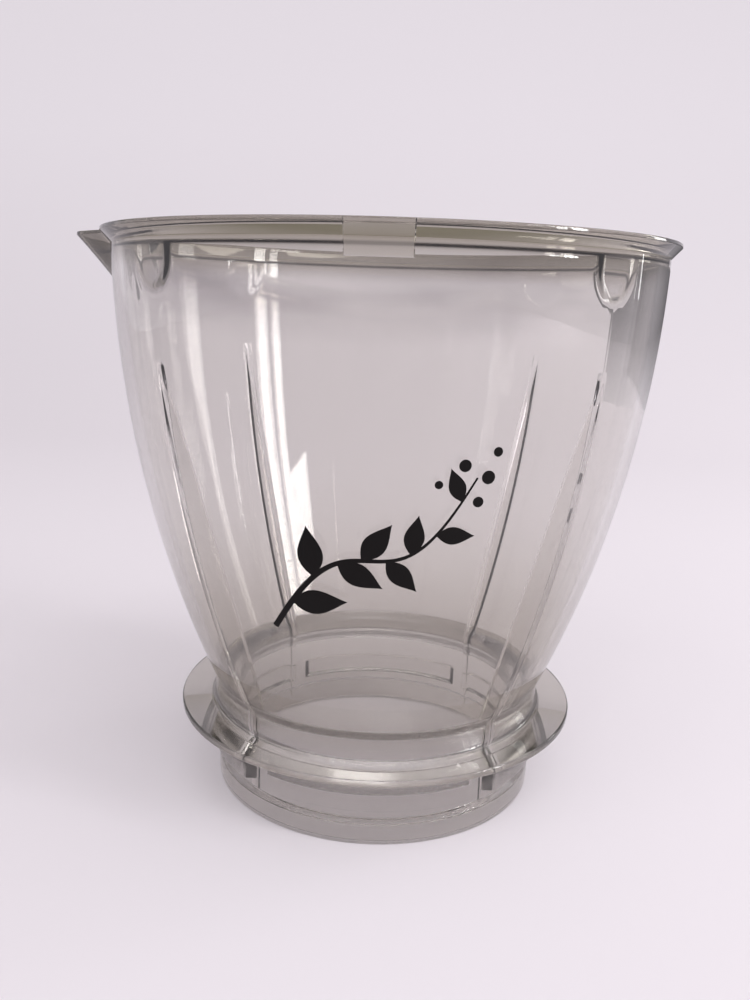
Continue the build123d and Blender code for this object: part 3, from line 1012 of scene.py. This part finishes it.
def stage_sweep(settings):
    """Floor that curves up into a backdrop behind the jar."""
    bm = bmesh.new()
    back = settings.floor_back
    radius = settings.sweep_radius
    profile = [(-settings.floor_front, 0), (back, 0)]
    for turn in steps(0, settings.sweep_turn, SWEEP_SEGMENTS)[1:]:
        profile.append((back + radius * sin(turn), radius - radius * cos(turn)))
    profile.append((settings.backdrop_back, settings.backdrop_top))
    verts = [bm.verts.new((-settings.floor_width / 2, along, up)) for along, up in profile]
    edges = [bm.edges.new(pair) for pair in zip(verts, verts[1:])]
    made = bmesh.ops.extrude_edge_only(bm, edges=edges)["geom"]
    far_side = [item for item in made if isinstance(item, bmesh.types.BMVert)]
    bmesh.ops.translate(bm, vec=(settings.floor_width, 0, 0), verts=far_side)
    sweep = finish_mesh(bm, "studio_sweep")
    sweep.data.materials.append(paper_material(settings))


def add_softbox(softbox):
    """Area light at a turn round the jar, facing the jar's axis."""
    light = bpy.data.lights.new(softbox.name, "AREA")
    light.shape = "RECTANGLE"
    light.size, light.size_y = softbox.width, softbox.tall
    light.energy = softbox.power
    lamp = bpy.data.objects.new(softbox.name, light)
    turn = radians(softbox.turn)
    lamp.location = (softbox.distance * sin(turn), -softbox.distance * cos(turn), softbox.height)
    target = Vector((0, 0, softbox.aim))
    lamp.rotation_euler = (target - lamp.location).to_track_quat("-Z", "Y").to_euler()
    lamp.visible_camera = False
    bpy.context.scene.collection.objects.link(lamp)


def dark_flag(settings):
    """Grey card at the right behind the jar, darkest at its rear top and seen only in the jar's wall."""
    bm = bmesh.new()
    half_width = settings.flag_width / 2
    half_height = settings.flag_height / 2
    turn = Matrix.Rotation(settings.flag_turn, 4, "Z")
    spot = turn @ Matrix.Translation((0, -settings.flag_distance, half_height))
    upright = Matrix.Rotation(pi / 2, 4, "X") @ Matrix.Diagonal((half_width, half_height, 1, 1))
    bmesh.ops.create_grid(bm, x_segments=1, y_segments=1, size=1, matrix=spot @ upright)
    card = finish_mesh(bm, "dark_flag")
    material, tree, output = new_material("flag_grey")
    coordinates = add_node(tree, "ShaderNodeTexCoord", (-600, 0))
    split = add_node(tree, "ShaderNodeSeparateXYZ", (-400, 0))
    glow = add_node(tree, "ShaderNodeEmission", (0, 0), Color=(*settings.floor_colour, 1))
    tree.links.new(coordinates.outputs["Object"], split.inputs["Vector"])
    across = ramp(tree, (-200, 100), split.outputs["X"], *FLAG_ACROSS, *FLAG_ACROSS_GLOW)
    upwards = ramp(tree, (-200, -150), split.outputs["Z"], *FLAG_UP, *FLAG_UP_GLOW)
    tree.links.new(combine(tree, (-50, 0), "MAXIMUM", across, upwards), glow.inputs["Strength"])
    tree.links.new(glow.outputs["Emission"], output.inputs["Surface"])
    card.data.materials.append(material)
    card.visible_camera = False
    card.visible_diffuse = False
    card.visible_shadow = False


def studio_world(settings):
    """Grey room, as pale as the floor where it is seen, with a dull band that the jar's edges show."""
    world = bpy.data.worlds.new("studio")
    world.use_nodes = True
    tree = world.node_tree
    coordinates = add_node(tree, "ShaderNodeTexCoord", (-1100, -200))
    split = add_node(tree, "ShaderNodeSeparateXYZ", (-900, -200))
    tree.links.new(coordinates.outputs["Generated"], split.inputs["Vector"])
    behind = ramp(tree, (-700, -100), split.outputs["Y"], *BAND_BEHIND)
    above = ramp(tree, (-700, -350), split.outputs["Z"], *BAND_BOTTOM)
    below = ramp(tree, (-700, -600), split.outputs["Z"], *BAND_TOP, 1.0, 0.0)
    band = combine(tree, (-500, -200), "MULTIPLY", behind, above)
    band = combine(tree, (-350, -300), "MULTIPLY", band, below)
    path = add_node(tree, "ShaderNodeLightPath", (-900, 350))
    seen = seen_share(tree, (-700, 350), path)
    room = blend_colours(tree, (-350, 0), settings.room_colour, settings.floor_colour, seen)
    room = blend_colours(tree, (-200, 0), room, settings.band_colour, band)
    room = blend_colours(tree, (-50, 0), room, settings.floor_colour, path.outputs["Is Camera Ray"])
    tree.links.new(room, tree.nodes["Background"].inputs["Color"])
    bpy.context.scene.world = world


def add_camera(settings):
    """Camera at the photograph's angle."""
    data = bpy.data.cameras.new("camera")
    data.lens = settings.lens
    camera = bpy.data.objects.new("camera", data)
    turn = Matrix.Rotation(settings.camera_turn, 4, "Z")
    spot = Matrix.Translation((0, -settings.camera_distance, settings.camera_height))
    pan = Matrix.Rotation(settings.camera_pan, 4, "Z")
    tilt = Matrix.Rotation(pi / 2 - settings.camera_tilt, 4, "X")
    roll = Matrix.Rotation(settings.camera_roll, 4, "Z")
    camera.matrix_world = turn @ spot @ (pan @ tilt) @ roll
    bpy.context.scene.collection.objects.link(camera)
    bpy.context.scene.camera = camera


# Operators and panel


class BLENDERJAR_OT_jar(bpy.types.Operator):
    """Build the clear moulded jar in place of its plain solid"""

    bl_idname = "blender_jar.build_jar"
    bl_label = "Build Jar"

    def execute(self, context):
        bm = spun_jar(JarForm(context.scene.jar_sizes))
        if not all(edge.is_manifold for edge in bm.edges):
            raise ValueError("The wall of the jar isn't closed")
        jar = finish_mesh(bm, "clear_jar")
        jar.data.materials.append(clear_plastic_material(context.scene.jar_look))
        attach(jar, "root")
        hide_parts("jar")
        return {"FINISHED"}


class BLENDERJAR_OT_print(bpy.types.Operator):
    """Print the leaf sprig on the front of the jar"""

    bl_idname = "blender_jar.build_print"
    bl_label = "Build Print"

    def execute(self, context):
        sizes = context.scene.jar_print
        form = JarForm(context.scene.jar_sizes)
        bm = flat_sprig(sizes)
        heights = [vert.co.y for vert in bm.verts]
        if min(heights) < form.collar_top or max(heights) > form.lip_root:
            raise ValueError("The print reaches past the wall of the jar")
        wrap_on_front(bm, form, sizes.gap + sizes.ink)
        sprig = finish_mesh(bm, "print")
        sprig.data.materials.append(print_ink_material(context.scene.jar_look))
        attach(sprig, "root")
        return {"FINISHED"}


class BLENDERJAR_OT_stage(bpy.types.Operator):
    """Set up the pale floor, the soft light and the camera"""

    bl_idname = "blender_jar.build_stage"
    bl_label = "Build Stage"

    def execute(self, context):
        settings = context.scene.jar_studio
        if settings.camera_distance < context.scene.jar_sizes.rim_radius:
            raise ValueError("The camera stands inside the jar")
        stage_sweep(settings)
        dark_flag(settings)
        studio_world(settings)
        for softbox in SOFTBOXES:
            add_softbox(softbox)
        add_camera(settings)
        context.scene.view_settings.view_transform = "Standard"
        return {"FINISHED"}


class BLENDERJAR_PT_panel(bpy.types.Panel):
    """Sizes, looks and the build steps of the jar"""

    bl_idname = "BLENDERJAR_PT_panel"
    bl_label = "Blender Jar"
    bl_space_type = "VIEW_3D"
    bl_region_type = "UI"
    bl_category = "Jar"

    def draw(self, context):
        column = self.layout.column()
        for operator in OPERATORS:
            column.operator(operator.bl_idname)
        scene = context.scene
        for group in (scene.jar_sizes, scene.jar_print, scene.jar_look, scene.jar_studio):
            box = self.layout.box()
            for name in group.__annotations__:
                box.prop(group, name)


OPERATORS = (BLENDERJAR_OT_jar, BLENDERJAR_OT_print, BLENDERJAR_OT_stage)
CLASSES = (JarSizes, PrintSizes, JarLook, StudioSettings, *OPERATORS, BLENDERJAR_PT_panel)


def register():
    """Add the classes and their settings to Blender."""
    for cls in CLASSES:
        bpy.utils.register_class(cls)
    bpy.types.Scene.jar_sizes = PointerProperty(type=JarSizes)
    bpy.types.Scene.jar_print = PointerProperty(type=PrintSizes)
    bpy.types.Scene.jar_look = PointerProperty(type=JarLook)
    bpy.types.Scene.jar_studio = PointerProperty(type=StudioSettings)


def unregister():
    """Take the classes and their settings out again."""
    del bpy.types.Scene.jar_studio
    del bpy.types.Scene.jar_look
    del bpy.types.Scene.jar_print
    del bpy.types.Scene.jar_sizes
    for cls in reversed(CLASSES):
        bpy.utils.unregister_class(cls)


def main():
    """Build everything."""
    register()
    bpy.ops.blender_jar.build_jar()
    bpy.ops.blender_jar.build_print()
    bpy.ops.blender_jar.build_stage()


if __name__ == "__main__":
    main()
